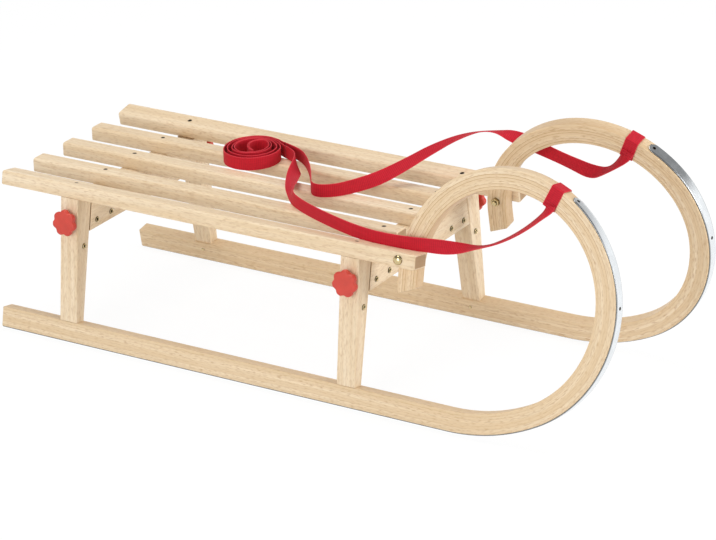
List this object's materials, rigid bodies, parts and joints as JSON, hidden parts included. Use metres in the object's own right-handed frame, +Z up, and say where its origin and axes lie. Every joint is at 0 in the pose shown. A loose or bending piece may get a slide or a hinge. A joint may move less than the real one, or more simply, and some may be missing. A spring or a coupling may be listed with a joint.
{
  "type": "folding horn sled",
  "caption": "Folding wooden sled: bent laminated runners curl up into horns, splayed legs hinge under a slatted seat, with star knobs, steel running strips and a webbing pull strap.",
  "frame": {"origin": "on the floor below the middle of the sled's length and width", "axes": "+X forwards to the horns, +Y to the rider's left, +Z up"},
  "size_m": [1.144, 0.441, 0.4269],
  "materials": {
    "bent_wood": "clear lacquer",
    "planed_wood": "clear lacquer",
    "running_steel": "galvanised",
    "zinc_steel": "zinc plated",
    "knob_plastic": "moulded matte",
    "webbing": "woven webbing"
  },
  "bodies": {
    "seat": {"beam_front": "planed_wood", "beam_rear": "planed_wood", "slat_inner_right": "planed_wood", "slat_middle": "planed_wood", "slat_inner_left": "planed_wood", "hinge_plate_front_right": "zinc_steel", "hinge_plate_front_left": "zinc_steel", "hinge_plate_rear_right": "zinc_steel", "hinge_plate_rear_left": "zinc_steel", "pivot_rivet_front_right": "zinc_steel", "pivot_rivet_front_left": "zinc_steel", "pivot_rivet_rear_right": "zinc_steel", "pivot_rivet_rear_left": "zinc_steel", "strap_run_right": "webbing", "strap_run_left": "webbing", "strap_roll": "webbing"},
    "side_right": {"runner_right": "bent_wood", "running_strip_right": "running_steel", "slat_outer_right": "planed_wood", "horn_bolt_right": "zinc_steel", "horn_nut_right": "zinc_steel", "strap_loop_right": "webbing", "leg_front_right": "planed_wood", "leg_rear_right": "planed_wood", "knob_front_right": "knob_plastic", "knob_rear_right": "knob_plastic"},
    "side_left": {"runner_left": "bent_wood", "running_strip_left": "running_steel", "slat_outer_left": "planed_wood", "horn_bolt_left": "zinc_steel", "horn_nut_left": "zinc_steel", "strap_loop_left": "webbing", "leg_front_left": "planed_wood", "leg_rear_left": "planed_wood", "knob_front_left": "knob_plastic", "knob_rear_left": "knob_plastic"}
  },
  "joints": [
    {"name": "fold_right", "type": "hinge", "parent": "seat", "child": "side_right", "pos_m": [0, -0.18097, 0.16768], "axis": [1, 0, 0], "range_deg": [0, 101], "deforming": ["strap_run_right"]},
    {"name": "fold_left", "type": "hinge", "parent": "seat", "child": "side_left", "pos_m": [0, 0.18097, 0.16768], "axis": [-1, 0, 0], "range_deg": [0, 101], "deforming": ["strap_run_left"]}
  ]
}
